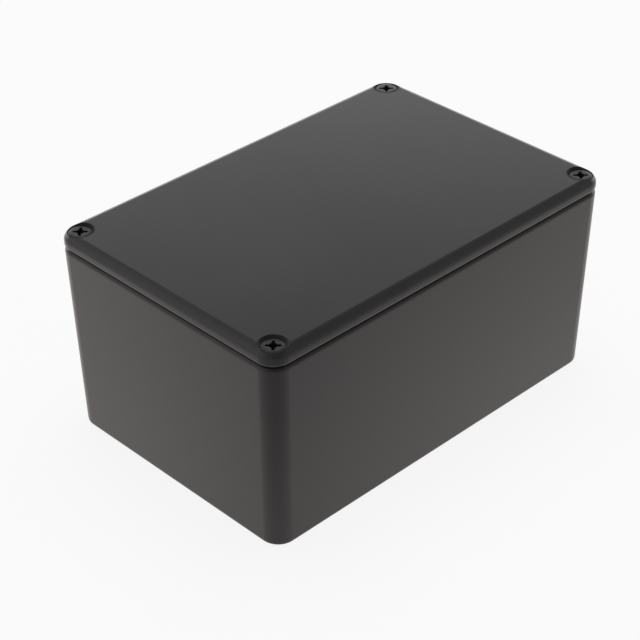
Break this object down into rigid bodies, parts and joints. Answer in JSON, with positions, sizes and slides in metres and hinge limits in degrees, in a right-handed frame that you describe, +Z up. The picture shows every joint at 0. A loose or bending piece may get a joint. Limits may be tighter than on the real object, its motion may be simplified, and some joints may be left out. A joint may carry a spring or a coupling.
{
  "type": "die cast aluminium enclosure",
  "caption": "Black die cast aluminium enclosure for electronics: a drafted box with corner screw posts and a lapped lid held by countersunk cross-recess screws.",
  "frame": {"origin": "centre of the base, on the surface that the enclosure stands on", "axes": "+X along the length, +Y along the width, +Z up through the lid"},
  "size_m": [0.12, 0.08, 0.059],
  "materials": {
    "casting_paint": "satin black paint with a fine grain over die cast aluminium",
    "screw_black": "black oxide steel"
  },
  "bodies": {
    "root": {"box": "casting_paint", "lid": "casting_paint", "lid_screws": "screw_black"}
  },
  "joints": []
}
